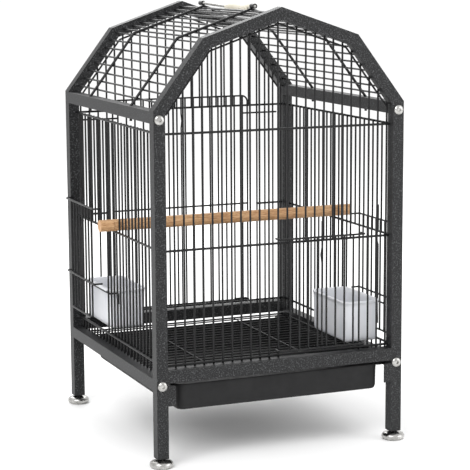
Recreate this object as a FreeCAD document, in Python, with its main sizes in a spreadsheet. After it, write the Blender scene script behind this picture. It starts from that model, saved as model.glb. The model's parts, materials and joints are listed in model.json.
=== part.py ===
import FreeCAD, Part
import math
import os
import Sketcher
from FreeCAD import Vector

# Bird cage with a gambrel roof on short legs, in millimetres.
# Z is up from the floor, X runs across the cage and the tray pulls out towards -Y.

doc = FreeCAD.newDocument("bird_cage")
sheet = doc.addObject("Spreadsheet::Sheet", "Spec")

DRIVING = [
    ("half_width", 170), ("half_depth", 180), ("tube", 15), ("tube_wall", 1.2),
    ("leg_bottom", 14), ("eave_z", 446), ("knee_x", 104.6), ("knee_z", 532.1), ("ridge_z", 567.8),
    ("front_rail_z", 108), ("front_rail_height", 16), ("base_rail_z", 97.5), ("eave_rail_z", 430),
    ("wire", 2.5), ("bar_wire", 3), ("hoop", 3.5), ("pitch", 12.7), ("door_wire", 2.5), ("latch_wire", 2.1),
    ("wall_layer", 13.4), ("bar_layer", 10.9), ("door_layer", 4.85), ("door_bar_layer", 2.55),
    ("low_bar_z", 128), ("mid_bar_z", 272), ("top_bar_z", 416.5), ("border_gap", 4.5),
    ("door_half", 57.15), ("door_top_z", 275), ("front_door_bottom_z", 131.3),
    ("side_door_bottom_z", 125), ("side_hook_z", 173), ("hook_end_layer", 14), ("hook_gap", 0.4),
    ("front_door_x", 57.15),
    ("side_door_y", 101.6), ("front_door_lift", 2.5), ("right_door_lift", 7), ("left_door_lift", 23),
    ("latch_rise", 20), ("kink_depth", 3), ("kink_length", 10), ("kink_drop", 24),
    ("rear_door_half", 103), ("rear_door_top_z", 430), ("rear_door_bottom_z", 129.5),
    ("rear_open_half", 114.3), ("stop_bar_z", 405), ("stop_bar_in", 95), ("stop_bar_out", 148),
    ("stop_bar_layer", 7.1), ("rear_door_round", 8.89), ("rear_kink_drop", 19.2),
    ("roof_wire_drop", 7.5), ("hoop_drop", 4.9), ("roof_pitches", 8),
    ("hoop_y", 82.55), ("hoop_tip_x", 165), ("hoop_tip_length", 4),
    ("guide_z", 99.8), ("guide_top_z", 104), ("guide_flange", 13.2), ("guide_web", 4.4),
    ("guide_sheet", 1.5), ("tab_width", 10), ("tab_height", 29),
    ("tray_half", 141), ("tray_front_y", -173), ("tray_rear_y", 147), ("tray_bottom_z", 70),
    ("tray_top_z", 103.5), ("tray_wall", 2), ("tray_lip", 3.4), ("tray_round", 12),
    ("grate_half", 152.6), ("grate_front_y", -163), ("grate_rear_y", 163), ("grate_z", 105.6),
    ("grate_fine", 2), ("grate_stay", 1.5), ("grate_stay_x", 70), ("grate_fine_z", 105.15),
    ("grate_stay_z", 106.87), ("grate_first_y", -152.6), ("grate_count", 22), ("grate_pitch", 14.4),
    ("cup_out_x", 152.2), ("cup_in_x", 100), ("cup_half", 52), ("cup_bottom_z", 130),
    ("cup_top_z", 184), ("cup_wall", 2), ("cup_round", 9), ("cup_lip", 2.2), ("cup_hook", 3.2),
    ("holder_z", 180.3), ("holder_wire", 2.5), ("holder_arm", 12), ("holder_drop", 15), ("holder_gap", 0.3),
    ("perch_radius", 7.75), ("perch_half", 182), ("perch_z", 281.55), ("perch_flat", 4.8),
    ("perch_neck_in", 151), ("perch_neck_out", 164),
    ("foot_radius", 15), ("foot_disc", 7), ("foot_cone", 2.5), ("foot_neck_radius", 5.5),
    ("foot_neck", 1), ("stud_radius", 3), ("stud_top", 34), ("insert_bore", 3.08),
    ("insert_plate", 2), ("insert_depth", 14), ("insert_play", 0.05),
    ("screw_radius", 6.5), ("screw_crown", 4.2), ("screw_height", 3), ("socket_radius", 2.3),
    ("socket_depth", 2), ("screw_low_z", 104.8), ("screw_high_z", 435),
    ("handle_wire", 3.6), ("handle_half", 95), ("handle_grip_half", 36), ("handle_grip_radius", 5),
    ("handle_reach", 16), ("handle_z", 566.7), ("handle_rest", 14), ("clip_length", 10.9),
    ("clip_radius", 3.2), ("clip_play", 0.35), ("hinge_outer", 3), ("hinge_play", 0.35),
    ("end_wall_pitches", 12), ("side_wall_pitches", 12.5), ("lift_door_pitches", 3.5),
    ("rear_door_pitches", 7.5), ("insert_root", 0.5), ("overrun", 1),
]

DERIVED = [
    ("low_len", "=sqrt((half_width - knee_x)^2 + (knee_z - eave_z)^2)"),
    ("low_nx", "=(knee_z - eave_z) / low_len"),
    ("low_nz", "=(half_width - knee_x) / low_len"),
    ("up_len", "=sqrt(knee_x^2 + (ridge_z - knee_z)^2)"),
    ("up_nx", "=(ridge_z - knee_z) / up_len"),
    ("up_nz", "=knee_x / up_len"),
    ("eave_dx", "=1"),
    ("eave_dz", "=low_nz / (1 + low_nx)"),
    ("knee_dx", "=(low_nx + up_nx) / (1 + low_nx * up_nx + low_nz * up_nz)"),
    ("knee_dz", "=(low_nz + up_nz) / (1 + low_nx * up_nx + low_nz * up_nz)"),
    ("ridge_dz", "=2 * up_nz / (1 - up_nx^2 + up_nz^2)"),
    ("grate_inner", "=grate_half - bar_wire / 2"),
    ("grate_stay_in", "=bar_wire + wire / 2"),
]

for row, (alias, value) in enumerate(DRIVING + DERIVED, start=1):
    sheet.set("A%d" % row, alias)
    sheet.set("B%d" % row, str(value))
    sheet.setAlias("B%d" % row, alias)
doc.recompute()


def dim(alias):
    """Value of one spreadsheet cell as a plain number."""
    return float(getattr(sheet, alias))


NODES = []
TRIM = 0.3
HOOP_OVERRUN = 0.2
MOST_KEPT = 0.7


def node(obj, label):
    """Register a document object as a named sub-part."""
    obj.Label = label
    NODES.append(obj)
    return obj


# ---------------------------------------------------------------- parametric helpers

def bind(obj, **expressions):
    """Bind properties of an object to spreadsheet expressions."""
    for name, expression in expressions.items():
        obj.setExpression(name.replace("__", "."), expression)
    return obj


def at(obj, x="0", y="0", z="0"):
    """Place an object by three expressions."""
    return bind(obj, Placement__Base__x=x, Placement__Base__y=y, Placement__Base__z=z)


def box(name, length, width, height, x, y, z):
    solid = doc.addObject("Part::Box", name)
    bind(solid, Length=length, Width=width, Height=height)
    return at(solid, x, y, z)


def cylinder(name, radius, height, x, y, z):
    solid = doc.addObject("Part::Cylinder", name)
    bind(solid, Radius=radius, Height=height)
    return at(solid, x, y, z)


def cut(name, base, tool):
    result = doc.addObject("Part::Cut", name)
    result.Base = base
    result.Tool = tool
    return result


def join(name, shapes):
    result = doc.addObject("Part::MultiFuse", name)
    result.Shapes = shapes
    return result


def group(name, shapes):
    result = doc.addObject("Part::Compound", name)
    result.Links = shapes
    return result


def plane_of(body, role):
    for feature in body.Origin.OriginFeatures:
        if feature.Role == role:
            return feature
    raise ValueError(role)


def polygon_sketch(body, name, points):
    """Closed polygon on the body's XZ plane, every corner held by two expressions."""
    sketch = body.newObject("Sketcher::SketchObject", name)
    sketch.AttachmentSupport = (plane_of(body, "XZ_Plane"), [""])
    sketch.MapMode = "FlatFace"
    start = [Vector(math.cos(2 * math.pi * i / len(points)), math.sin(2 * math.pi * i / len(points)), 0)
             for i in range(len(points))]
    for i in range(len(points)):
        sketch.addGeometry(Part.LineSegment(start[i], start[(i + 1) % len(points)]), False)
    for i in range(len(points)):
        sketch.addConstraint(Sketcher.Constraint("Coincident", i, 2, (i + 1) % len(points), 1))
    for i, (x, z) in enumerate(points):
        for kind, expression in (("DistanceX", x), ("DistanceY", z)):
            index = sketch.addConstraint(Sketcher.Constraint(kind, -1, 1, i, 1, 1.0))
            sketch.setExpression("Constraints[%d]" % index, expression)
    return sketch


def mitred_tube(label, outer, inner, y):
    """Square tube seen from the front as one quadrilateral, hollow along its length."""
    body = doc.addObject("PartDesign::Body", label)
    pad = body.newObject("PartDesign::Pad", label + "_pad")
    pad.Profile = polygon_sketch(body, label + "_outer", outer)
    pad.Midplane = True
    pad.setExpression("Length", "Spec.tube")
    pocket = body.newObject("PartDesign::Pocket", label + "_pocket")
    pocket.Profile = polygon_sketch(body, label + "_inner", inner)
    pocket.Midplane = True
    pocket.setExpression("Length", "Spec.tube - 2 * Spec.tube_wall")
    body.Tip = pocket
    bind(body, Placement__Base__y=y)
    return node(body, label)


def square_tube(label, size, corner, axis):
    """Straight square tube, open at both ends; axis is 0, 1 or 2."""
    outer = box(label + "_outer", size[0], size[1], size[2], corner[0], corner[1], corner[2])
    inner_size = ["(%s) - 2 * Spec.tube_wall" % s for s in size]
    inner_corner = ["(%s) + Spec.tube_wall" % c for c in corner]
    inner_size[axis] = size[axis]
    inner_corner[axis] = corner[axis]
    inner = box(label + "_inner", *inner_size, *inner_corner)
    return node(cut(label, outer, inner), label)


# ---------------------------------------------------------------- wire helpers

def rod(start, end, diameter):
    """Straight round wire between two points."""
    direction = end.sub(start)
    return Part.makeCylinder(diameter / 2, direction.Length, start, direction)


def bent_wire(points, diameter, bend):
    """Round wire along a polyline whose corners are rounded to one bend radius."""
    edges = []
    last = points[0]
    for before, corner, after in zip(points, points[1:], points[2:]):
        back = before.sub(corner).normalize()
        ahead = after.sub(corner).normalize()
        half = back.getAngle(ahead) / 2
        setback = bend / math.tan(half)
        first = corner.add(Vector(back).multiply(setback))
        second = corner.add(Vector(ahead).multiply(setback))
        inward = back.add(ahead).normalize()
        centre = corner.add(Vector(inward).multiply(bend / math.sin(half)))
        middle = centre.sub(Vector(inward).multiply(bend))
        edges.append(Part.makeLine(last, first))
        edges.append(Part.Arc(first, middle, second).toShape())
        last = second
    edges.append(Part.makeLine(last, points[-1]))
    path = Part.Wire(edges)
    ring = Part.Wire(Part.makeCircle(diameter / 2, points[0], points[1].sub(points[0])))
    return path.makePipeShell([ring], True, False)


def fused(shapes):
    return shapes[0].multiFuse(shapes[1:])


def free_node(label, shape, placement=None):
    """Sub-part made of many wires, built in code from the sheet's sizes."""
    obj = doc.addObject("Part::Feature", label)
    obj.Shape = shape
    obj.Placement = placement or FreeCAD.Placement()
    return node(obj, label)


def turn(degrees):
    """Placement turned about the cage's vertical centre line."""
    return FreeCAD.Placement(Vector(), FreeCAD.Rotation(Vector(0, 0, 1), degrees))


def steps(first, last, pitch):
    count = int(round((last - first) / pitch))
    return [first + i * pitch for i in range(count + 1)]


# ---------------------------------------------------------------- gable frames

W = "Spec.half_width"
D = "Spec.half_depth"
T = "Spec.tube"
SIDES = (("left", "-"), ("right", ""))
ENDS = (("front", "-"), ("rear", ""))


def eave(sign, offset):
    return ("%s(Spec.half_width - (%s) * Spec.eave_dx)" % (sign, offset),
            "Spec.eave_z - (%s) * Spec.eave_dz" % offset)


def knee(sign, offset):
    return ("%s(Spec.knee_x - (%s) * Spec.knee_dx)" % (sign, offset),
            "Spec.knee_z - (%s) * Spec.knee_dz" % offset)


def ridge(offset):
    return ("0", "Spec.ridge_z - (%s) * Spec.ridge_dz" % offset)


def quad(first, second, near, far):
    return [first(near), second(near), second(far), first(far)]


SKIN = ("0", T)
HOLLOW = ("Spec.tube_wall", T + " - Spec.tube_wall")

for end, y_sign in ENDS:
    y_mid = "%s(%s - %s / 2)" % (y_sign, D, T)
    for side, x_sign in SIDES:
        foot = lambda off, s=x_sign: ("%s(Spec.half_width - (%s))" % (s, off), "Spec.leg_bottom")
        top = lambda off, s=x_sign: eave(s, off)
        bend = lambda off, s=x_sign: knee(s, off)
        mitred_tube("post_%s_%s" % (end, side), quad(foot, top, *SKIN), quad(foot, top, *HOLLOW), y_mid)
        mitred_tube("gable_%s_low_%s" % (end, side), quad(top, bend, *SKIN), quad(top, bend, *HOLLOW), y_mid)
        mitred_tube("gable_%s_high_%s" % (end, side), quad(bend, ridge, *SKIN),
                    quad(bend, ridge, *HOLLOW), y_mid)

    y_low = "-" + D if end == "front" else "%s - %s" % (D, T)
    square_tube("rail_%s" % end, ["2 * (%s - %s)" % (W, T), T, "Spec.front_rail_height"],
                ["-(%s - %s)" % (W, T), y_low, "Spec.front_rail_z"], 0)

for side, x_sign in SIDES:
    x_low = "-" + W if side == "left" else "%s - %s" % (W, T)
    for kind, z in (("base", "Spec.base_rail_z"), ("eave", "Spec.eave_rail_z")):
        square_tube("%s_rail_%s" % (kind, side), [T, "2 * (%s - %s)" % (D, T), T],
                    [x_low, "-(%s - %s)" % (D, T), z], 1)

# ---------------------------------------------------------------- tray guides

for side, x_sign in SIDES:
    left = side == "left"
    inner_face = "-(%s - %s)" % (W, T) if left else "%s - %s" % (W, T)
    web_x = inner_face if left else "%s - Spec.guide_web" % inner_face
    flange_x = inner_face if left else "%s - Spec.guide_flange" % inner_face
    tab_x = inner_face if left else "%s - Spec.tab_width" % inner_face
    run = "2 * (%s - %s)" % (D, T)
    run_y = "-(%s - %s)" % (D, T)
    web = box("guide_web_" + side, "Spec.guide_web", run, "Spec.guide_top_z - Spec.guide_z",
              web_x, run_y, "Spec.guide_z")
    flange = box("guide_flange_" + side, "Spec.guide_flange", run, "Spec.guide_sheet",
                 flange_x, run_y, "Spec.guide_z")
    node(join("tray_guide_" + side, [web, flange]), "tray_guide_" + side)
    tab_z = "Spec.front_rail_z - Spec.tab_height"
    node(box("corner_tab_" + side, "Spec.tab_width", "Spec.guide_sheet", "Spec.guide_top_z - (%s)" % tab_z,
             tab_x, "-" + D, tab_z), "corner_tab_" + side)

# ---------------------------------------------------------------- wire walls

half_width = dim("half_width")
half_depth = dim("half_depth")
tube = dim("tube")
wire = dim("wire")
bar = dim("bar_wire")
pitch = dim("pitch")
low_z = dim("low_bar_z")
mid_z = dim("mid_bar_z")
top_z = dim("top_bar_z")
rail_top = dim("front_rail_z") + dim("front_rail_height")
base_top = dim("base_rail_z") + tube
eave_low = dim("eave_rail_z")
wire_top = top_z + wire / 2
overrun = dim("overrun")
inner_x = half_width - tube
inner_y = half_depth - tube
wall_n = dim("wall_layer")
bar_n = dim("bar_layer")
border_drop = dim("border_gap")


def outline(offset):
    """Corners of the gable outline from the left eave to the right eave, moved in by offset."""
    eave_pt = (half_width - offset, dim("eave_z") - offset * dim("eave_dz"))
    knee_pt = (dim("knee_x") - offset * dim("knee_dx"), dim("knee_z") - offset * dim("knee_dz"))
    ridge_pt = (0, dim("ridge_z") - offset * dim("ridge_dz"))
    return [(-eave_pt[0], eave_pt[1]), (-knee_pt[0], knee_pt[1]), ridge_pt, knee_pt, eave_pt]


def gable_window(y):
    """Solid filling the space inside the gable tubes, to trim wires against them."""
    corners = [(-inner_x, rail_top)] + outline(tube) + [(inner_x, rail_top)]
    points = [Vector(x, y - tube, z) for x, z in corners]
    face = Part.Face(Part.makePolygon(points + [points[0]]))
    return face.extrude(Vector(0, 2 * tube, 0))


def wire_height(x):
    """Height of the inner gable outline above one x."""
    corners = outline(tube)
    for (x0, z0), (x1, z1) in zip(corners, corners[1:]):
        if x0 <= x <= x1:
            return z0 + (z1 - z0) * (x - x0) / (x1 - x0)
    return corners[0][1]


def end_wall(y_sign, door_low, door_high, door_top, extra):
    """Front or rear wire wall with one door opening between two of its vertical wires."""
    y = y_sign * (half_depth - wall_n)
    y_bar = y_sign * (half_depth - bar_n)
    wires = []
    reach = dim("end_wall_pitches") * pitch
    for x in steps(-reach, reach, pitch):
        top = wire_height(x) + wire
        if door_low + TRIM < x < door_high - TRIM:
            wires.append(rod(Vector(x, y, door_top), Vector(x, y, top), wire))
        else:
            wires.append(rod(Vector(x, y, rail_top - wire), Vector(x, y, top), wire))
    for z in (low_z, top_z):
        wires.append(rod(Vector(-half_width, y_bar, z), Vector(half_width, y_bar, z), bar))
    for x0, x1, z in extra:
        wires.append(rod(Vector(x0, y_bar, z), Vector(x1, y_bar, z), bar))
    border = outline(tube + border_drop)
    border = [Vector(x, y_bar, z) for x, z in border]
    wires.append(bent_wire(border, wire, border_drop))
    return fused(wires).common(gable_window(y))


door_half = dim("door_half")
front_x = dim("front_door_x")
open_half = dim("rear_open_half")
mid_front = [(-half_width, half_width, mid_z)]
mid_rear = [(-half_width, -open_half, mid_z), (open_half, half_width, mid_z)]
free_node("wall_front", end_wall(-1, front_x - door_half, front_x + door_half, mid_z, mid_front))
free_node("wall_rear", end_wall(1, -open_half, open_half, top_z, mid_rear))


def side_wall():
    """Right-hand wire wall; its feeder opening is near the front post."""
    x = half_width - wall_n
    x_bar = half_width - bar_n
    door_y = -dim("side_door_y")
    wires = []
    reach = dim("side_wall_pitches") * pitch
    for y in steps(-reach, reach, pitch):
        if abs(y - door_y) < door_half - TRIM:
            wires.append(rod(Vector(x, y, base_top), Vector(x, y, low_z), wire))
            wires.append(rod(Vector(x, y, mid_z), Vector(x, y, wire_top), wire))
        else:
            wires.append(rod(Vector(x, y, base_top), Vector(x, y, wire_top), wire))
    for z in (low_z, mid_z, top_z):
        wires.append(rod(Vector(x_bar, -inner_y, z), Vector(x_bar, inner_y, z), bar))
    return fused(wires)


wall = side_wall()
free_node("wall_right", wall)
free_node("wall_left", wall, turn(180))

# ---------------------------------------------------------------- roof

roof_drop = dim("roof_wire_drop")
hoop_drop = dim("hoop_drop")
hoop = dim("hoop")
pitches = int(dim("roof_pitches"))


def lerp(a, b, t):
    return (a[0] + (b[0] - a[0]) * t, a[1] + (b[1] - a[1]) * t)


def roof_panel(upper):
    """Wires of one right-hand roof slope: front-to-back wires, and two hoops."""
    first = 1 if upper else 0
    deep = outline(roof_drop)[2:]
    shallow = outline(hoop_drop)[2:]
    deep = [deep[1], deep[0]] if upper else [deep[2], deep[1]]
    shallow = [shallow[1], shallow[0]] if upper else [shallow[2], shallow[1]]
    wires = []
    for i in range(first, pitches + 1):
        x, z = lerp(deep[0], deep[1], i / pitches)
        x = max(x, hoop)
        wires.append(rod(Vector(x, -inner_y, z), Vector(x, inner_y, z), wire))
    for y in (-dim("hoop_y"), dim("hoop_y")):
        low, high = (Vector(x, y, z) for x, z in shallow)
        extra = high.sub(low).multiply(HOOP_OVERRUN)
        wires.append(rod(low.sub(extra), high.add(extra), hoop))
    return fused(wires)


def slope_block(upper):
    """Space owned by one right-hand slope, bounded by the rail top, the knee and the ridge."""
    outer = outline(-tube)[2:]
    inner = outline(2 * tube)[2:]
    eave_top = eave_low + tube
    if upper:
        corners = [(TRIM / 2, outer[0][1]), outer[1], inner[1], (TRIM / 2, inner[0][1])]
    else:
        corners = [outer[1], (outer[2][0], eave_top), (inner[2][0], eave_top), inner[1]]
    points = [Vector(x, -inner_y, z) for x, z in corners]
    return Part.Face(Part.makePolygon(points + [points[0]])).extrude(Vector(0, 2 * inner_y, 0))


for upper, name in ((False, "low"), (True, "high")):
    slope = roof_panel(upper).common(slope_block(upper))
    free_node("roof_%s_right" % name, slope)
    free_node("roof_%s_left" % name, slope, turn(180))

tips = []
for side, x_sign in SIDES:
    for end, y_sign in ENDS:
        tips.append(cylinder("hoop_tip_%s_%s" % (end, side), "Spec.hoop / 2", "Spec.hoop_tip_length",
                             "%sSpec.hoop_tip_x" % x_sign, "%sSpec.hoop_y" % y_sign,
                             "Spec.eave_rail_z - Spec.hoop_tip_length"))
node(group("hoop_tips", tips), "hoop_tips")

# ---------------------------------------------------------------- doors

door_wire = dim("door_wire")
latch = dim("latch_wire")
door_n = dim("door_layer")
door_bar_n = dim("door_bar_layer")
hook_gap = dim("hook_gap")
kink = dim("kink_depth")
kink_half = dim("kink_length")


def lift_door(bottom, hook_levels):
    """Small lift-up door facing -Y, closed, centred on x = 0, with hooked guide bars."""
    y = -(half_depth - door_n)
    y_bar = -(half_depth - door_bar_n)
    y_hook = -(half_depth - dim("hook_end_layer"))
    top = dim("door_top_z")
    reach = door_half + wire / 2 + hook_gap + door_wire / 2
    edge = dim("lift_door_pitches") * pitch
    wires = [rod(Vector(x, y, bottom), Vector(x, y, top), door_wire) for x in steps(-edge, edge, pitch)]
    for z in hook_levels:
        path = [Vector(-reach, y_hook, z), Vector(-reach, y_bar, z),
                Vector(reach, y_bar, z), Vector(reach, y_hook, z)]
        wires.append(bent_wire(path, door_wire, door_wire))
    if bottom not in hook_levels:
        wires.append(rod(Vector(-edge, y_bar, bottom), Vector(edge, y_bar, bottom), door_wire))
    return fused(wires)


def latch_wire(bottom, top, kink_z):
    """Latch wire facing -Y with one inward kink that is pinched to free the door."""
    y = -(half_depth - door_n)
    inward = y + kink
    path = [Vector(0, y, bottom), Vector(0, y, kink_z - kink_half), Vector(0, inward, kink_z),
            Vector(0, y, kink_z + kink_half), Vector(0, y, top)]
    return bent_wire(path, latch, latch)


def door_placement(degrees, offset, lift):
    """Turn a -Y facing door to its wall; offset runs to the right as seen from outside."""
    rotation = FreeCAD.Rotation(Vector(0, 0, 1), degrees)
    shift = Vector(offset, 0, lift)
    return FreeCAD.Placement(rotation.multVec(shift), rotation)


def to_side(shape):
    """Bring a door made for the end walls in to the narrower side walls."""
    moved = shape.copy()
    moved.translate(Vector(0, half_depth - half_width, 0))
    return moved


front_bottom = dim("front_door_bottom_z")
closed_top = dim("door_top_z")
front_panel = lift_door(front_bottom, [front_bottom, closed_top])
side_panel = to_side(lift_door(dim("side_door_bottom_z"), [dim("side_hook_z"), closed_top]))
front_latch = latch_wire(front_bottom + door_wire, closed_top + dim("latch_rise"),
                         closed_top - dim("kink_drop"))
side_latch = to_side(front_latch)
side_y = dim("side_door_y")
LIFT_DOORS = [
    ("front_door", front_panel, front_latch, 0, front_x, dim("front_door_lift")),
    ("right_door", side_panel, side_latch, 90, -side_y, dim("right_door_lift")),
    ("left_door", side_panel, side_latch, -90, -side_y, dim("left_door_lift")),
]
for name, panel, panel_latch, degrees, offset, lift in LIFT_DOORS:
    where = door_placement(degrees, offset, lift)
    free_node(name, panel, where)
    free_node(name + "_latch", panel_latch, where)


def rear_door():
    """Large drop-down door, closed, hinged on its own bottom wire."""
    y = half_depth - door_n
    y_bar = half_depth - door_bar_n
    half = dim("rear_door_half")
    top = dim("rear_door_top_z")
    bottom = dim("rear_door_bottom_z")
    edge = dim("rear_door_pitches") * pitch
    frame = [Vector(-half, y, bottom), Vector(-half, y, top), Vector(half, y, top), Vector(half, y, bottom)]
    wires = [bent_wire(frame, door_wire, dim("rear_door_round"))]
    wires.append(rod(Vector(-half - door_wire / 2, y, bottom), Vector(half + door_wire / 2, y, bottom),
                     door_wire))
    for x in steps(-edge, edge, pitch):
        wires.append(rod(Vector(x, y, bottom), Vector(x, y, top), door_wire))
    wires.append(rod(Vector(-half, y_bar, mid_z), Vector(half, y_bar, mid_z), door_wire))
    y_stop = half_depth - dim("stop_bar_layer")
    stop_z = dim("stop_bar_z")
    for sign in (-1, 1):
        wires.append(rod(Vector(sign * dim("stop_bar_in"), y_stop, stop_z),
                         Vector(sign * dim("stop_bar_out"), y_stop, stop_z), door_wire))
    return fused(wires)


free_node("rear_door", rear_door())
rear_latch = latch_wire(dim("rear_door_bottom_z") + door_wire / 2, dim("rear_door_top_z") - door_wire / 2,
                        top_z - dim("rear_kink_drop"))
free_node("rear_door_latch", rear_latch, turn(180))

hinge_y = half_depth - door_n
hinge_z = dim("rear_door_bottom_z")
last_x = dim("rear_door_pitches") * pitch
loops = []
for sign in (-1, 1):
    for near, far in ((last_x - pitch, last_x), (last_x, dim("rear_door_half"))):
        gap = door_wire / 2 + hook_gap
        start = Vector(sign * (near + gap), hinge_y, hinge_z)
        end = Vector(sign * (far - gap), hinge_y, hinge_z)
        ring = rod(start, end, 2 * dim("hinge_outer"))
        reach = bar_n - door_n - bar / 2
        arm = Part.makeBox(abs(end.x - start.x), reach, bar,
                           Vector(min(start.x, end.x), hinge_y - reach, hinge_z - bar / 2))
        past = Vector(sign * overrun, 0, 0)
        hole = rod(start.sub(past), end.add(past), door_wire + 2 * dim("hinge_play"))
        loops.append(ring.fuse(arm).cut(hole))
free_node("rear_door_hinges", Part.makeCompound(loops))

# ---------------------------------------------------------------- pans: tray and cups


def vertical_and_bottom_edges(shape):
    """Names of a box's four upright edges and its four bottom edges."""
    names = []
    low = shape.BoundBox.ZMin
    for i, edge in enumerate(shape.Edges, start=1):
        ends = [v.Point for v in edge.Vertexes]
        upright = abs(ends[0].x - ends[1].x) + abs(ends[0].y - ends[1].y) < TRIM
        bottom = max(p.z for p in ends) < low + TRIM
        if upright or bottom:
            names.append("Edge%d" % i)
    return names


def pan(label, size, corner, wall_alias, round_expression, extras):
    """Open-topped pan: filleted box, filleted hollow, then any lips and hooks."""
    body = doc.addObject("PartDesign::Body", label)
    block = body.newObject("PartDesign::AdditiveBox", label + "_block")
    bind(block, Length=size[0], Width=size[1], Height=size[2])
    at(block, *corner)
    doc.recompute()
    edges = body.newObject("PartDesign::Fillet", label + "_round")
    edges.Base = (block, vertical_and_bottom_edges(block.Shape))
    edges.setExpression("Radius", round_expression)
    doc.recompute()
    before = body.Shape.Volume
    hollow = body.newObject("PartDesign::SubtractiveBox", label + "_hollow")
    thick = "Spec." + wall_alias
    bind(hollow, Length="%s - 2 * %s" % (size[0], thick), Width="%s - 2 * %s" % (size[1], thick),
         Height=size[2])
    at(hollow, *["%s + %s" % (c, thick) for c in corner])
    doc.recompute()
    if body.Shape.Volume > MOST_KEPT * before:
        raise RuntimeError("hollow of %s removed too little" % label)
    for index, (part_size, part_corner) in enumerate(extras):
        lip = body.newObject("PartDesign::AdditiveBox", "%s_lip%d" % (label, index))
        bind(lip, Length=part_size[0], Width=part_size[1], Height=part_size[2])
        at(lip, *part_corner)
    body.Tip = body.Group[-1]
    return node(body, label)


tray_size = ["2 * Spec.tray_half", "Spec.tray_rear_y - Spec.tray_front_y",
             "Spec.tray_top_z - Spec.tray_bottom_z"]
tray_corner = ["-Spec.tray_half", "Spec.tray_front_y", "Spec.tray_bottom_z"]
lip_size = ["Spec.tray_lip + Spec.tray_wall", "%s - 2 * Spec.tray_round" % tray_size[1], "Spec.tray_wall"]
lip_y = "Spec.tray_front_y + Spec.tray_round"
lip_z = "Spec.tray_top_z - Spec.tray_wall"
tray_lips = [
    (lip_size, ["-Spec.tray_half - Spec.tray_lip", lip_y, lip_z]),
    (lip_size, ["Spec.tray_half - Spec.tray_wall", lip_y, lip_z]),
]
pan("tray", tray_size, tray_corner, "tray_wall", "Spec.tray_round / 2", tray_lips)

for side, x_sign in SIDES:
    left = side == "left"
    cup_size = ["Spec.cup_out_x - Spec.cup_in_x", "2 * Spec.cup_half", "Spec.cup_top_z - Spec.cup_bottom_z"]
    cup_y = "%sSpec.side_door_y - Spec.cup_half" % ("" if left else "-")
    cup_x = "-Spec.cup_out_x" if left else "Spec.cup_in_x"
    hook_x = "-Spec.cup_out_x - Spec.cup_hook" if left else "Spec.cup_out_x - Spec.cup_wall"
    hook = (["Spec.cup_hook + Spec.cup_wall", "2 * Spec.cup_half - 2 * Spec.cup_round", "Spec.cup_lip"],
            [hook_x, "%s + Spec.cup_round" % cup_y, "Spec.cup_top_z - Spec.cup_lip"])
    pan("cup_" + side, cup_size, [cup_x, cup_y, "Spec.cup_bottom_z"], "cup_wall", "Spec.cup_round", [hook])

holder_d = dim("holder_wire")
holder_z = dim("holder_z")
holder_x = half_width - wall_n - wire / 2 - holder_d / 2 - dim("holder_gap")
arm_y = -side_y + door_half - wire
holder_path = [
    Vector(holder_x, -side_y - door_half, holder_z),
    Vector(holder_x, arm_y, holder_z),
    Vector(holder_x - dim("holder_arm"), arm_y, holder_z),
    Vector(holder_x - dim("holder_arm"), arm_y, holder_z - dim("holder_drop")),
]
holder = bent_wire(holder_path, holder_d, holder_d)
free_node("cup_holder_right", holder)
free_node("cup_holder_left", holder, turn(180))

# ---------------------------------------------------------------- floor grate


def lying_wire(name, radius, length, axis, x, y, z):
    """Wire lying along X or Y from one end point."""
    solid = cylinder(name, radius, length, x, y, z)
    turned = (Vector(0, 1, 0), 90) if axis == "X" else (Vector(1, 0, 0), -90)
    solid.Placement.Rotation = FreeCAD.Rotation(*turned)
    return solid


cross_run = "2 * Spec.grate_inner"
cross_wires = []
for index in range(int(dim("grate_count"))):
    y = "Spec.grate_first_y + %d * Spec.grate_pitch" % index
    cross_wires.append(lying_wire("grate_fine_%d" % index, "Spec.grate_fine / 2", cross_run, "X",
                                  "-Spec.grate_inner", y, "Spec.grate_fine_z"))
for end, y in (("front", "Spec.grate_front_y + Spec.bar_wire"),
               ("rear", "Spec.grate_rear_y - Spec.bar_wire")):
    cross_wires.append(lying_wire("grate_edge_" + end, "Spec.wire / 2", cross_run, "X",
                                  "-Spec.grate_inner", y, "Spec.grate_z"))
node(group("grate_cross_wires", cross_wires), "grate_cross_wires")

long_wires = []
grate_run = "Spec.grate_rear_y - Spec.grate_front_y"
for side, x_sign in SIDES:
    long_wires.append(lying_wire("grate_border_" + side, "Spec.bar_wire / 2", grate_run, "Y",
                                 x_sign + "Spec.grate_half", "Spec.grate_front_y", "Spec.grate_z"))
    long_wires.append(lying_wire("grate_stay_wire_" + side, "Spec.grate_stay / 2",
                                 grate_run + " - 2 * Spec.grate_stay_in", "Y",
                                 x_sign + "Spec.grate_stay_x", "Spec.grate_front_y + Spec.grate_stay_in",
                                 "Spec.grate_stay_z"))
node(group("grate_long_wires", long_wires), "grate_long_wires")

# ---------------------------------------------------------------- perch

dowel = doc.addObject("Part::Cylinder", "perch_dowel")
bind(dowel, Radius="Spec.perch_radius", Height="2 * Spec.perch_half")
dowel.Placement.Rotation = FreeCAD.Rotation(Vector(0, 1, 0), 90)
at(dowel, "-Spec.perch_half", "0", "Spec.perch_z")
notches = []
for side, x_sign in SIDES:
    for edge, y in (("front", "-Spec.perch_radius - Spec.overrun"), ("rear", "Spec.perch_flat")):
        x = "-Spec.perch_neck_out" if side == "left" else "Spec.perch_neck_in"
        notches.append(box("perch_notch_%s_%s" % (side, edge), "Spec.perch_neck_out - Spec.perch_neck_in",
                           "Spec.perch_radius + Spec.overrun - Spec.perch_flat",
                           "2 * (Spec.perch_radius + Spec.overrun)",
                           x, y, "Spec.perch_z - Spec.perch_radius - Spec.overrun"))
node(cut("perch", dowel, join("perch_notches", notches)), "perch")

# ---------------------------------------------------------------- feet and leg inserts

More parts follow.
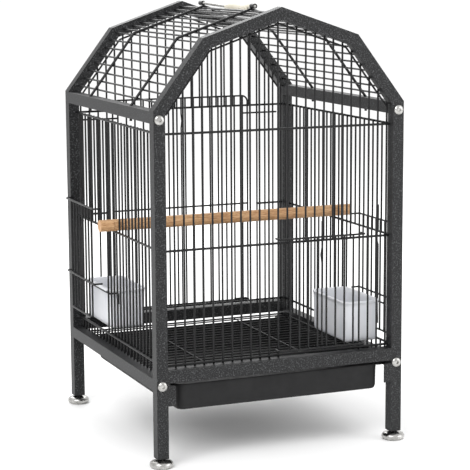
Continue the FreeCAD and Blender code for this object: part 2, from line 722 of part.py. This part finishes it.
inserts = []
for end, y_sign in ENDS:
    for side, x_sign in SIDES:
        tag = "%s_%s" % (end, side)
        cx = "%s(%s - %s / 2)" % (x_sign, W, T)
        cy = "%s(%s - %s / 2)" % (y_sign, D, T)
        disc = cylinder("disc_" + tag, "Spec.foot_radius", "Spec.foot_disc", cx, cy, "0")
        cone = doc.addObject("Part::Cone", "cone_" + tag)
        bind(cone, Radius1="Spec.foot_radius", Radius2="Spec.foot_neck_radius", Height="Spec.foot_cone")
        at(cone, cx, cy, "Spec.foot_disc")
        neck = cylinder("neck_" + tag, "Spec.foot_neck_radius",
                        "Spec.foot_neck", cx, cy,
                        "Spec.foot_disc + Spec.foot_cone")
        stud = cylinder("stud_" + tag, "Spec.stud_radius", "Spec.stud_top - Spec.foot_disc", cx, cy,
                        "Spec.foot_disc")
        node(join("foot_" + tag, [disc, cone, neck, stud]), "foot_" + tag)
        inner = "(%s - 2 * Spec.tube_wall - 2 * Spec.insert_play)" % T
        plate = box("insert_plate_" + tag, T, T, "Spec.insert_plate", "%s - %s / 2" % (cx, T),
                    "%s - %s / 2" % (cy, T), "Spec.leg_bottom - Spec.insert_plate")
        plug = box("insert_plug_" + tag, inner, inner, "Spec.insert_depth + Spec.insert_root",
                   "%s - %s / 2" % (cx, inner), "%s - %s / 2" % (cy, inner),
                   "Spec.leg_bottom - Spec.insert_root")
        bore = cylinder("insert_bore_" + tag, "Spec.insert_bore",
                        "Spec.insert_depth + Spec.insert_plate + 2 * Spec.overrun",
                        cx, cy, "Spec.leg_bottom - Spec.insert_plate - Spec.overrun")
        inserts.append(cut("insert_" + tag, join("insert_solid_" + tag, [plate, plug]), bore))
node(group("leg_inserts", inserts), "leg_inserts")

# ---------------------------------------------------------------- screws


def screw(tag, end, cx, cz):
    """Button-head screw with a hexagon socket, head only, facing away from the gable."""
    sign = -1 if end == "front" else 1
    crown = doc.addObject("Part::Cone", "screw_crown_" + tag)
    bind(crown, Radius1="Spec.screw_radius", Radius2="Spec.screw_crown", Height="Spec.screw_height")
    socket = doc.addObject("Part::Prism", "screw_socket_" + tag)
    socket.Polygon = 6
    bind(socket, Circumradius="Spec.socket_radius", Height="Spec.socket_depth + Spec.overrun")
    bind(socket, Placement__Base__z="Spec.screw_height - Spec.socket_depth")
    head = cut("screw_" + tag, crown, socket)
    head.Placement.Rotation = FreeCAD.Rotation(Vector(1, 0, 0), -90 * sign)
    y = "-" + D if sign < 0 else D
    return at(head, cx, y, cz)


for end, y_sign in ENDS:
    heads = []
    for side, x_sign in SIDES:
        for level, cz in (("low", "Spec.screw_low_z"), ("high", "Spec.screw_high_z")):
            cx = "%s(%s - %s / 2)" % (x_sign, W, T)
            heads.append(screw("%s_%s_%s" % (end, side, level), end, cx, cz))
    node(group("screws_" + end, heads), "screws_" + end)

# ---------------------------------------------------------------- carrying handle

handle_d = dim("handle_wire")
handle_half = dim("handle_half")
grip_half = dim("handle_grip_half")
handle_z = dim("handle_z")
reach = dim("handle_reach")
tilt = math.radians(dim("handle_rest"))
out = Vector(reach * math.cos(tilt), 0, -reach * math.sin(tilt))
pivot = Vector(0, 0, handle_z)
clip_length = dim("clip_length")
bail_end = handle_half - clip_length - handle_d / 2
bail_side = grip_half + 2 * handle_d


def along(y, share):
    """Point of the bail at one y, share of the reach away from its pivot line."""
    return pivot.add(Vector(out).multiply(share)).add(Vector(0, y, 0))


bail_path = [along(-handle_half, 0), along(-bail_end, 0), along(-bail_side, 1),
             along(bail_side, 1), along(bail_end, 0), along(handle_half, 0)]
bail = bent_wire(bail_path, handle_d, handle_d)
grip_hole = rod(along(-grip_half - overrun, 1), along(grip_half + overrun, 1), handle_d)
grip = rod(along(-grip_half, 1), along(grip_half, 1), 2 * dim("handle_grip_radius")).cut(grip_hole)
free_node("handle_bail", bail)
free_node("handle_grip", grip)

clips = []
for sign in (-1, 1):
    start = along(sign * (handle_half - clip_length), 0)
    end = along(sign * handle_half, 0)
    ring = rod(start, end, 2 * dim("clip_radius"))
    past = Vector(0, sign * overrun, 0)
    hole = rod(start.sub(past), end.add(past), handle_d + 2 * dim("clip_play"))
    clips.append(ring.cut(hole))
free_node("handle_clips", Part.makeCompound(clips))

# ---------------------------------------------------------------- check and export

doc.recompute()
problems = []
for obj in doc.Objects:
    if "Invalid" in obj.State or "Error" in obj.State:
        problems.append("%s is %s" % (obj.Name, obj.State))
os.makedirs("parts", exist_ok=True)
for obj in NODES:
    if obj.Shape.isNull() or not obj.Shape.isValid():
        problems.append("%s has a bad shape" % obj.Label)
    else:
        obj.Shape.exportStep("parts/%s.step" % obj.Label)
if problems:
    raise RuntimeError("; ".join(problems))
print("exported %d sub-parts" % len(NODES))
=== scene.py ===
import json
import math
import bmesh
import bpy
from mathutils import Matrix, Vector


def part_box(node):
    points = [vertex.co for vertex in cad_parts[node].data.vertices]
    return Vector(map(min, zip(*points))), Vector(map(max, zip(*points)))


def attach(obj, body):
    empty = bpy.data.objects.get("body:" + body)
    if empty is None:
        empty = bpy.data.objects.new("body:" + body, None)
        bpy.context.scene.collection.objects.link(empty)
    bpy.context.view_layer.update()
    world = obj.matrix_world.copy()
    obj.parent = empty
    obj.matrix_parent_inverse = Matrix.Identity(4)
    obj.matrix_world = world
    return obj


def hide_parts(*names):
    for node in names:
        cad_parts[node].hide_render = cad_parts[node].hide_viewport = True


# Open-wire bird cage: FreeCAD holds the frame and every wire; this script adds finer pans, feet,
# screws, handle and hinge coils, and gives every surface its material.

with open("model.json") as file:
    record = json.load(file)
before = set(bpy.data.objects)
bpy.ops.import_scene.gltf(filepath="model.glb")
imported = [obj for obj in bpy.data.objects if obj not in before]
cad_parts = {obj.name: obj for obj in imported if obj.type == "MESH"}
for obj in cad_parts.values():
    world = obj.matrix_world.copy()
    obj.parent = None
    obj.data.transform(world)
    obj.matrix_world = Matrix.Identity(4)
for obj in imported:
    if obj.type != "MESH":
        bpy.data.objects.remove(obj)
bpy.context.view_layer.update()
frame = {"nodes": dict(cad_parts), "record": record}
NODES = frame["nodes"]
MM = 0.001
TAU = 2 * math.pi
EDGE_ROUND = 0.9 * MM
TRAY_LIP = 3.4 * MM
TRAY_WALL = 2 * MM
LIP_HALF = TRAY_LIP / 2 + 0.2 * MM
LIP_DROP = 1 * MM
LIP_THICK = 0.95 * MM
TRAY_ROUND = 12 * MM
CUP_HOOK = 3.2 * MM
CUP_WALL = 1.9 * MM
CUP_INNER_ROUND = 9 * MM
CUP_OUTER_ROUND = 7 * MM
HOOK_SHORT = 10 * MM
HEAD_RADIUS = 6.5
HEAD_STEPS = 36
SOCKET_FLAT = 2.0
COIL_RADIUS = 2.2 * MM
COIL_WIRE = 0.6 * MM
COIL_STEPS = 14
COIL_PITCH = 1.5
HINGE_OUTER = 3 * MM
FLOOR_HALF = 12.0


# ------------------------------------------------------------------ materials

def new_material(name, color, roughness, metallic=0.0, specular=0.3):
    material = bpy.data.materials.new(name)
    material.use_nodes = True
    shader = material.node_tree.nodes["Principled BSDF"]
    shader.inputs["Base Color"].default_value = (*color, 1)
    shader.inputs["Roughness"].default_value = roughness
    shader.inputs["Metallic"].default_value = metallic
    shader.inputs["Specular IOR Level"].default_value = specular
    return material, material.node_tree, shader


def add(tree, kind, **inputs):
    """One shader node, with its input defaults or links given by name."""
    made = tree.nodes.new(kind)
    for name, value in inputs.items():
        socket = made.inputs[name.replace("_", " ")]
        if hasattr(value, "is_output"):
            tree.links.new(value, socket)
        else:
            socket.default_value = value
    return made


def object_coords(tree, scale=(1, 1, 1)):
    coords = tree.nodes.new("ShaderNodeTexCoord")
    mapping = add(tree, "ShaderNodeMapping", Vector=coords.outputs["Object"])
    mapping.inputs["Scale"].default_value = scale
    return mapping.outputs["Vector"]


def noise(tree, vector, scale, detail=3.0, roughness=0.5):
    return add(tree, "ShaderNodeTexNoise", Vector=vector, Scale=scale, Detail=detail,
               Roughness=roughness).outputs["Fac"]


def ramp(tree, value, stops):
    """Colour ramp from (position, colour) pairs."""
    made = add(tree, "ShaderNodeValToRGB", Fac=value)
    band = made.color_ramp
    while len(band.elements) < len(stops):
        band.elements.new(0.5)
    for element, (position, color) in zip(band.elements, stops):
        element.position = position
        element.color = (*color, 1)
    return made.outputs["Color"]


def span(tree, value, low, high, to_low, to_high):
    made = tree.nodes.new("ShaderNodeMapRange")
    tree.links.new(value, made.inputs["Value"])
    for name, number in (("From Min", low), ("From Max", high), ("To Min", to_low), ("To Max", to_high)):
        made.inputs[name].default_value = number
    return made.outputs["Result"]


def bump(tree, shader, height, strength, distance):
    made = add(tree, "ShaderNodeBump", Height=height, Strength=strength, Distance=distance)
    tree.links.new(made.outputs["Normal"], shader.inputs["Normal"])


def hammertone():
    """Black powder coat broken by paler, slightly raised veins."""
    material, tree, shader = new_material("hammertone", (0.02, 0.02, 0.021), 0.4)
    vector = object_coords(tree)
    cells = add(tree, "ShaderNodeTexVoronoi", Vector=vector, Scale=620.0)
    fine = noise(tree, vector, 1200.0, 4.0, 0.65)
    mixed = add(tree, "ShaderNodeMath")
    mixed.operation = "MULTIPLY"
    tree.links.new(cells.outputs["Distance"], mixed.inputs[0])
    tree.links.new(fine, mixed.inputs[1])
    fleck = mixed.outputs["Value"]
    color = ramp(tree, fleck, [(0.16, (0.004, 0.004, 0.0045)), (0.3, (0.011, 0.0115, 0.012)),
                               (0.46, (0.075, 0.076, 0.08))])
    tree.links.new(color, shader.inputs["Base Color"])
    tree.links.new(span(tree, fleck, 0.1, 0.5, 0.42, 0.6), shader.inputs["Roughness"])
    bump(tree, shader, fleck, 0.35, 0.00025)
    return material


def wire_coat():
    """Thin black coating over wire, with faint pooling."""
    material, tree, shader = new_material("wire_coat", (0.012, 0.012, 0.013), 0.35)
    vector = object_coords(tree)
    pooled = noise(tree, vector, 260.0, 3.0)
    color = ramp(tree, pooled, [(0.35, (0.002, 0.002, 0.0023)), (0.7, (0.008, 0.008, 0.009))])
    tree.links.new(color, shader.inputs["Base Color"])
    tree.links.new(span(tree, pooled, 0.3, 0.7, 0.28, 0.48), shader.inputs["Roughness"])
    bump(tree, shader, noise(tree, vector, 1400.0, 2.0), 0.25, 0.0001)
    return material


def moulded(name, color, pale, roughness, grain=1600.0, depth=0.00008):
    """Moulded plastic with a fine spark-eroded grain and slow colour drift."""
    material, tree, shader = new_material(name, color, roughness)
    vector = object_coords(tree)
    drift = noise(tree, vector, 28.0, 4.0)
    tree.links.new(ramp(tree, drift, [(0.3, color), (0.7, pale)]), shader.inputs["Base Color"])
    tree.links.new(span(tree, noise(tree, vector, 90.0, 3.0), 0.3, 0.7, roughness - 0.06, roughness + 0.08),
                   shader.inputs["Roughness"])
    bump(tree, shader, noise(tree, vector, grain, 2.0), 0.35, depth)
    return material, shader


def plated_steel():
    material, tree, shader = new_material("plated_steel", (0.74, 0.73, 0.70), 0.24, 1.0)
    vector = object_coords(tree)
    cloud = noise(tree, vector, 180.0, 4.0)
    tree.links.new(ramp(tree, cloud, [(0.3, (0.34, 0.335, 0.32)), (0.7, (0.56, 0.555, 0.54))]),
                   shader.inputs["Base Color"])
    tree.links.new(span(tree, cloud, 0.3, 0.7, 0.18, 0.34), shader.inputs["Roughness"])
    bump(tree, shader, noise(tree, vector, 900.0, 2.0), 0.15, 0.00005)
    return material


def beech():
    """Turned beech: long grain along X, short dark flecks, slow warm drift."""
    material, tree, shader = new_material("beech", (0.62, 0.4, 0.22), 0.5)
    grain = noise(tree, object_coords(tree, (9, 260, 260)), 3.0, 6.0, 0.6)
    fleck = noise(tree, object_coords(tree, (60, 900, 900)), 2.4, 2.0)
    drift = noise(tree, object_coords(tree, (6, 20, 20)), 2.0, 2.0)
    base = ramp(tree, grain, [(0.3, (0.36, 0.2, 0.1)), (0.5, (0.58, 0.36, 0.19)), (0.72, (0.72, 0.5, 0.3))])
    dark = ramp(tree, fleck, [(0.36, (0.55, 0.42, 0.32)), (0.5, (1, 1, 1))])
    warm = ramp(tree, drift, [(0.3, (0.86, 0.8, 0.74)), (0.7, (1, 1, 1))])
    result = base
    for layer in (dark, warm):
        mix = tree.nodes.new("ShaderNodeMix")
        mix.data_type = "RGBA"
        mix.blend_type = "MULTIPLY"
        mix.inputs["Factor"].default_value = 1.0
        tree.links.new(result, mix.inputs[6])
        tree.links.new(layer, mix.inputs[7])
        result = mix.outputs[2]
    tree.links.new(result, shader.inputs["Base Color"])
    tree.links.new(span(tree, grain, 0.3, 0.7, 0.42, 0.62), shader.inputs["Roughness"])
    bump(tree, shader, grain, 0.3, 0.00025)
    return material


def milky_cup():
    """Milky translucent plastic."""
    material, shader = moulded("milky_plastic", (0.74, 0.75, 0.79), (0.84, 0.85, 0.88), 0.34, 700.0, 0.00004)
    shader.inputs["Subsurface Weight"].default_value = 0.35
    shader.inputs["Subsurface Radius"].default_value = (0.004, 0.004, 0.004)
    shader.inputs["Transmission Weight"].default_value = 0.12
    return material


FRAME_COAT = hammertone()
WIRE_COAT = wire_coat()
STEEL = plated_steel()
BEECH = beech()
CUP_PLASTIC = milky_cup()
TRAY_PLASTIC = moulded("tray_plastic", (0.005, 0.005, 0.0055), (0.008, 0.008, 0.0085), 0.6)[0]
INSERT_PLASTIC = moulded("insert_plastic", (0.008, 0.008, 0.008), (0.013, 0.013, 0.0135), 0.58)[0]
GRIP_PLASTIC = moulded("grip_plastic", (0.62, 0.58, 0.48), (0.74, 0.7, 0.6), 0.4, 900.0)[0]
SLOT_MATERIALS = {
    "frame_coat": FRAME_COAT, "wire": WIRE_COAT, "steel": STEEL, "beech": BEECH,
    "cup_plastic": CUP_PLASTIC, "tray_plastic": TRAY_PLASTIC, "black_plastic": INSERT_PLASTIC,
    "grip_plastic": GRIP_PLASTIC,
}
SLOT_OF = {row["node"]: row["material_slot"] for row in frame["record"]["subparts"]}
BODY_OF = {n: body for body, names in frame["record"]["behaviour"]["bodies"].items() for n in names}


def paint(obj, material):
    obj.data.materials.clear()
    obj.data.materials.append(material)


for name, obj in NODES.items():
    for index in range(max(1, len(obj.data.materials))):
        if index < len(obj.data.materials):
            obj.data.materials[index] = SLOT_MATERIALS[SLOT_OF[name]]
        else:
            obj.data.materials.append(SLOT_MATERIALS[SLOT_OF[name]])


# ------------------------------------------------------------------ mesh helpers

def finish_piece(name, bm, stands_for, smooth=True):
    """Turns a bmesh into a piece that replaces one CAD node and rides on its body."""
    bmesh.ops.recalc_face_normals(bm, faces=bm.faces)
    mesh = bpy.data.meshes.new(name)
    bm.to_mesh(mesh)
    bm.free()
    for polygon in mesh.polygons:
        polygon.use_smooth = smooth
    piece = bpy.data.objects.new(name, mesh)
    bpy.context.scene.collection.objects.link(piece)
    paint(piece, SLOT_MATERIALS[SLOT_OF[stands_for]])
    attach(piece, BODY_OF[stands_for])
    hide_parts(stands_for)
    return piece


def soften(piece, width, segments=2):
    """Rounds the sharp edges of a piece and shades it evenly."""
    bevel = piece.modifiers.new("edge_round", "BEVEL")
    bevel.width = width
    bevel.segments = segments
    bevel.limit_method = "ANGLE"
    bevel.angle_limit = math.radians(40)
    bevel.harden_normals = True


def bridge(bm, loops):
    """Joins successive vertex loops of equal length with quads."""
    for first, second in zip(loops, loops[1:]):
        count = len(first)
        for i in range(count):
            j = (i + 1) % count
            bm.faces.new((first[i], first[j], second[j], second[i]))


def lathe(bm, profile, place, steps=40):
    """Solid of revolution from (radius, height) pairs; place maps local points into the frame."""
    loops = []
    for radius, height in profile:
        loops.append([bm.verts.new(place @ Vector((radius * math.cos(TAU * i / steps),
                                                   radius * math.sin(TAU * i / steps), height)))
                      for i in range(steps)])
    bridge(bm, loops)
    bm.faces.new(loops[0])
    bm.faces.new(loops[-1])


def rounded_loop(center, half, radii, z, steps=7):
    """Rounded rectangle at one height; radii are for the corners (+x+y, -x+y, -x-y, +x-y)."""
    points = []
    corners = [(1, 1), (-1, 1), (-1, -1), (1, -1)]
    for quarter, (sx, sy) in enumerate(corners):
        r = min(radii[quarter], half[0] * 0.98, half[1] * 0.98)
        cx = center[0] + sx * (half[0] - r)
        cy = center[1] + sy * (half[1] - r)
        for i in range(steps + 1):
            angle = math.pi / 2 * (quarter + i / steps)
            points.append(Vector((cx + r * math.cos(angle), cy + r * math.sin(angle), z)))
    return points


def pan(bm, center, half, radii, levels):
    """Open pan as one closed skin.

    levels are (inset, height) pairs from the outer floor over the rim to the inner floor.
    """
    loops = []
    for inset, z in levels:
        shrunk = (half[0] - inset, half[1] - inset)
        corner = [max(r - inset, 1.5 * MM) for r in radii]
        loops.append([bm.verts.new(p) for p in rounded_loop(center, shrunk, corner, z)])
    bridge(bm, loops)
    bm.faces.new(loops[0])
    bm.faces.new(loops[-1])


def tube_along(bm, points, radius, steps):
    """Round wire through a list of points, with frames carried along the path."""
    loops = []
    up = Vector((0, 0, 1))
    first = (points[1] - points[0]).normalized()
    if abs(first.dot(up)) > 0.9:
        up = Vector((0, 1, 0))
    side = first.cross(up).normalized()
    for i, point in enumerate(points):
        before = points[max(i - 1, 0)]
        after = points[min(i + 1, len(points) - 1)]
        along = (after - before).normalized()
        side = (side - along * side.dot(along)).normalized()
        other = along.cross(side)
        ring = []
        for k in range(steps):
            angle = TAU * k / steps
            ring.append(bm.verts.new(point + (side * math.cos(angle) + other * math.sin(angle)) * radius))
        loops.append(ring)
    bridge(bm, loops)
    bm.faces.new(loops[0])
    bm.faces.new(loops[-1])


# ------------------------------------------------------------------ frame tubes

for name, slot_name in SLOT_OF.items():
    if slot_name == "frame_coat":
        soften(NODES[name], EDGE_ROUND)

# ------------------------------------------------------------------ tray

low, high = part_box("tray")
center = ((low[0] + high[0]) / 2, (low[1] + high[1]) / 2)
body_half = ((high[0] - low[0]) / 2 - TRAY_LIP, (high[1] - low[1]) / 2)
wall = TRAY_WALL
base, top = low[2], high[2]
tray_levels = [
    (9 * MM, base + 0.2 * MM), (5 * MM, base), (3 * MM, base + 0.6 * MM), (1.6 * MM, base + 2.2 * MM),
    (0.8 * MM, base + 5 * MM), (0.3 * MM, top - 6 * MM), (0, top - 3.4 * MM), (0, top - 0.5 * MM),
    (0.5 * MM, top), (wall - 0.4 * MM, top), (wall, top - 0.6 * MM), (wall + 0.4 * MM, top - 5 * MM),
    (wall + 1.2 * MM, base + 8 * MM), (wall + 3 * MM, base + 4 * MM), (wall + 7 * MM, base + wall),
    (wall + 12 * MM, base + wall),
]
bm = bmesh.new()
pan(bm, center, body_half, [TRAY_ROUND] * 4, tray_levels)
for sign in (-1, 1):
    rail_x = sign * (body_half[0] + TRAY_LIP / 2 - 0.3 * MM)
    run = body_half[1] - TRAY_ROUND
    loops = []
    profile = [(-1, -1), (1, -1), (1, 0.4), (0.7, 1), (-1, 1)]
    for y in (center[1] - run, center[1] + run):
        loops.append([bm.verts.new((rail_x + px * LIP_HALF, y, top - LIP_DROP + pz * LIP_THICK))
                      for px, pz in profile])
    bridge(bm, loops)
    bm.faces.new(loops[0])
    bm.faces.new(loops[-1])
finish_piece("tray_pan", bm, "tray")

# ------------------------------------------------------------------ cups

for side, sign in (("left", -1), ("right", 1)):
    low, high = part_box("cup_" + side)
    out_x = sign * (max(abs(low[0]), abs(high[0])) - CUP_HOOK)
    in_x = sign * min(abs(low[0]), abs(high[0]))
    center = ((out_x + in_x) / 2, (low[1] + high[1]) / 2)
    half = (abs(out_x - in_x) / 2, (high[1] - low[1]) / 2)
    base, top = low[2], high[2]
    inner, outer = CUP_INNER_ROUND, CUP_OUTER_ROUND
    radii = [outer, inner, inner, outer] if sign > 0 else [inner, outer, outer, inner]
    wall = CUP_WALL
    levels = [
        (10 * MM, base + 0.3 * MM), (6.5 * MM, base), (4 * MM, base + 0.6 * MM), (2.6 * MM, base + 2.4 * MM),
        (2.1 * MM, base + 6 * MM), (0.9 * MM, top - 7 * MM), (0.7 * MM, top - 3 * MM), (0, top - 2.6 * MM),
        (0, top - 0.6 * MM), (0.5 * MM, top), (wall, top), (wall + 0.5 * MM, top - 0.7 * MM),
        (wall + 0.6 * MM, top - 6 * MM), (wall + 2 * MM, base + 8 * MM), (wall + 3.6 * MM, base + 4.4 * MM),
        (wall + 7 * MM, base + wall), (wall + 12 * MM, base + wall),
    ]
    bm = bmesh.new()
    pan(bm, center, half, radii, levels)
    hook_low = out_x - sign * wall
    loops = []
    arc = [(0, 0), (0.35, 0.0), (0.75, -0.12), (1, -0.45), (1, -1), (0.62, -1), (0.55, -0.6), (0, -0.55)]
    for y in (low[1] + HOOK_SHORT, high[1] - HOOK_SHORT):
        loops.append([bm.verts.new((hook_low + sign * px * (CUP_HOOK + wall), y, top + pz * 2.2 * MM))
                      for px, pz in arc])
    bridge(bm, loops)
    bm.faces.new(loops[0])
    bm.faces.new(loops[-1])
    finish_piece("feeding_cup_" + side, bm, "cup_" + side)

# ------------------------------------------------------------------ levelling feet

FOOT_PROFILE = [
    (11, 0), (13.5, 0.8), (14.8, 2.8), (15, 4.6), (14.6, 6.4), (13.4, 7.8), (11, 8.9), (7.5, 9.8),
    (5.5, 10.2), (4.9, 10.45), (3, 10.5),
]
THREAD_TURNS = 24
for end in ("front", "rear"):
    for side in ("left", "right"):
        name = "foot_%s_%s" % (end, side)
        low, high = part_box(name)
        place = Matrix.Translation(((low[0] + high[0]) / 2, (low[1] + high[1]) / 2, 0))
        bm = bmesh.new()
        profile = [(r * MM, h * MM) for r, h in FOOT_PROFILE]
        for i in range(THREAD_TURNS):
            z = 10.7 * MM + i * (high[2] - 11.4 * MM) / THREAD_TURNS
            profile += [(2.55 * MM, z), (3 * MM, z + 0.5 * MM)]
        profile.append((2 * MM, high[2]))
        lathe(bm, profile, place)
        finish_piece("levelling_" + name, bm, name)

# ------------------------------------------------------------------ screws

HEAD_PROFILE = [
    (HEAD_RADIUS, 0), (HEAD_RADIUS, 0.5), (6.1, 1.3), (5.3, 2.1), (4.2, 2.7), (3.2, 2.95), (2.7, 3.0),
]


def screw_head(bm, x, z, face_y, outward):
    """Domed button head with a six-sided socket."""
    place = Matrix.Translation((x, face_y, z)) @ Matrix.Rotation(-outward * math.pi / 2, 4, "X")
    loops = []
    for radius, height in HEAD_PROFILE:
        ring = []
        for i in range(HEAD_STEPS):
            angle = TAU * i / HEAD_STEPS
            point = Vector((radius * math.cos(angle), radius * math.sin(angle), height)) * MM
            ring.append(bm.verts.new(place @ point))
        loops.append(ring)
    for depth in (3.0, 1.0):
        ring = []
        for i in range(HEAD_STEPS):
            angle = TAU * i / HEAD_STEPS
            within = (angle % (TAU / 6)) - TAU / 12
            radius = SOCKET_FLAT / math.cos(within)
            point = Vector((radius * math.cos(angle), radius * math.sin(angle), depth)) * MM
            ring.append(bm.verts.new(place @ point))
        loops.append(ring)
    bridge(bm, loops)
    bm.faces.new(loops[0])
    bm.faces.new(loops[-1])


for end, outward in (("front", -1), ("rear", 1)):
    low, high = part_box("screws_" + end)
    face_y = high[1] if outward < 0 else low[1]
    bm = bmesh.new()
    for x in (low[0] + HEAD_RADIUS * MM, high[0] - HEAD_RADIUS * MM):
        for z in (low[2] + HEAD_RADIUS * MM, high[2] - HEAD_RADIUS * MM):
            screw_head(bm, x, z, face_y, outward)
    piece = finish_piece("screw_heads_" + end, bm, "screws_" + end)
    edge = piece.modifiers.new("edge_split", "EDGE_SPLIT")
    edge.split_angle = math.radians(50)

# ------------------------------------------------------------------ handle grip and hinge coils

low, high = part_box("handle_grip")
grip_axis = Vector(((low[0] + high[0]) / 2, 0, (low[2] + high[2]) / 2))
length = high[1] - low[1]
place = Matrix.Translation((grip_axis.x, low[1], grip_axis.z)) @ Matrix.Rotation(-math.pi / 2, 4, "X")
profile = [(1.95, 0), (3.6, 0), (4.5, 0.5), (4.9, 1.6)]
ribs = 16
for i in range(ribs):
    y = 5 + i * (length / MM - 10) / ribs
    profile += [(4.9, y), (5.0, y + 0.8), (4.9, y + 2.2), (4.6, y + 3.2)]
profile += [(4.9, length / MM - 1.6), (4.5, length / MM - 0.5), (3.6, length / MM), (1.95, length / MM)]
bm = bmesh.new()
lathe(bm, [(r * MM, h * MM) for r, h in profile], place, 32)
finish_piece("handle_grip_ribbed", bm, "handle_grip")

low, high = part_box("rear_door_hinges")
hinge_y = high[1] - HINGE_OUTER
hinge_z = (low[2] + high[2]) / 2
bm = bmesh.new()
for sign in (-1, 1):
    for near, far in ((84.5, 93.5), (96.8, 101.2)):
        turns = round((far - near) / COIL_PITCH)
        count = turns * COIL_STEPS
        coil = []
        for i in range(count + 1):
            angle = TAU * turns * i / count
            x = sign * (near + (far - near) * i / count) * MM
            coil.append(Vector((x, hinge_y + COIL_RADIUS * math.cos(angle),
                                hinge_z + COIL_RADIUS * math.sin(angle))))
        tube_along(bm, coil, COIL_WIRE, 8)
        arm = [coil[0], coil[0] + Vector((0, -3 * MM, 1.2 * MM)), Vector((coil[0].x, low[1], hinge_z)),
               Vector((coil[0].x, low[1] - 0.4 * MM, hinge_z - 1.5 * MM))]
        tube_along(bm, arm, COIL_WIRE, 8)
finish_piece("rear_door_coils", bm, "rear_door_hinges")

# ------------------------------------------------------------------ studio

floor_mesh = bpy.data.meshes.new("floor")
floor_corners = [(x * FLOOR_HALF, y * FLOOR_HALF, 0) for x, y in ((-1, -1), (1, -1), (1, 1), (-1, 1))]
floor_mesh.from_pydata(floor_corners, [], [(0, 1, 2, 3)])
floor = bpy.data.objects.new("floor", floor_mesh)
bpy.context.scene.collection.objects.link(floor)
floor_material = new_material("floor_paper", (0.97, 0.97, 0.97), 0.8)[0]
paint(floor, floor_material)

world = bpy.data.worlds.new("studio")
world.use_nodes = True
background = world.node_tree.nodes["Background"]
background.inputs["Color"].default_value = (1, 1, 1, 1)
background.inputs["Strength"].default_value = 1.05
bpy.context.scene.world = world
bpy.context.scene.view_settings.view_transform = "Standard"


def area_light(name, position, target, size, power):
    light = bpy.data.lights.new(name, "AREA")
    light.shape = "SQUARE"
    light.size = size
    light.energy = power
    obj = bpy.data.objects.new(name, light)
    obj.location = position
    obj.rotation_euler = (Vector(target) - Vector(position)).to_track_quat("-Z", "Y").to_euler()
    bpy.context.scene.collection.objects.link(obj)


area_light("key", (-1.6, -1.4, 2.0), (0, 0, 0.3), 1.4, 40)
area_light("fill", (1.8, -1.6, 1.0), (0, 0, 0.3), 1.6, 16)
area_light("back", (0.4, 2.0, 1.8), (0, 0, 0.3), 1.6, 24)

# ------------------------------------------------------------------ camera

AZIMUTH = math.radians(-22.531)
ELEVATION = math.radians(9.224)
ROLL = math.radians(-0.317)
DISTANCE = 2.3192
TARGET = Vector((0.01009, 0, 0.25679))
LENS = 131.09

back = Vector((math.sin(AZIMUTH) * math.cos(ELEVATION), -math.cos(AZIMUTH) * math.cos(ELEVATION),
               math.sin(ELEVATION)))
right = (-back).cross(Vector((0, 0, 1))).normalized()
up = right.cross(-back)
axis_x = right * math.cos(ROLL) + up * math.sin(ROLL)
axis_y = up * math.cos(ROLL) - right * math.sin(ROLL)
camera_data = bpy.data.cameras.new("camera")
camera_data.lens = LENS
camera_data.sensor_width = 36
camera = bpy.data.objects.new("camera", camera_data)
camera.matrix_world = Matrix.Translation(TARGET + back * DISTANCE) @ Matrix(
    (axis_x, axis_y, back)).transposed().to_4x4()
bpy.context.scene.collection.objects.link(camera)
bpy.context.scene.camera = camera
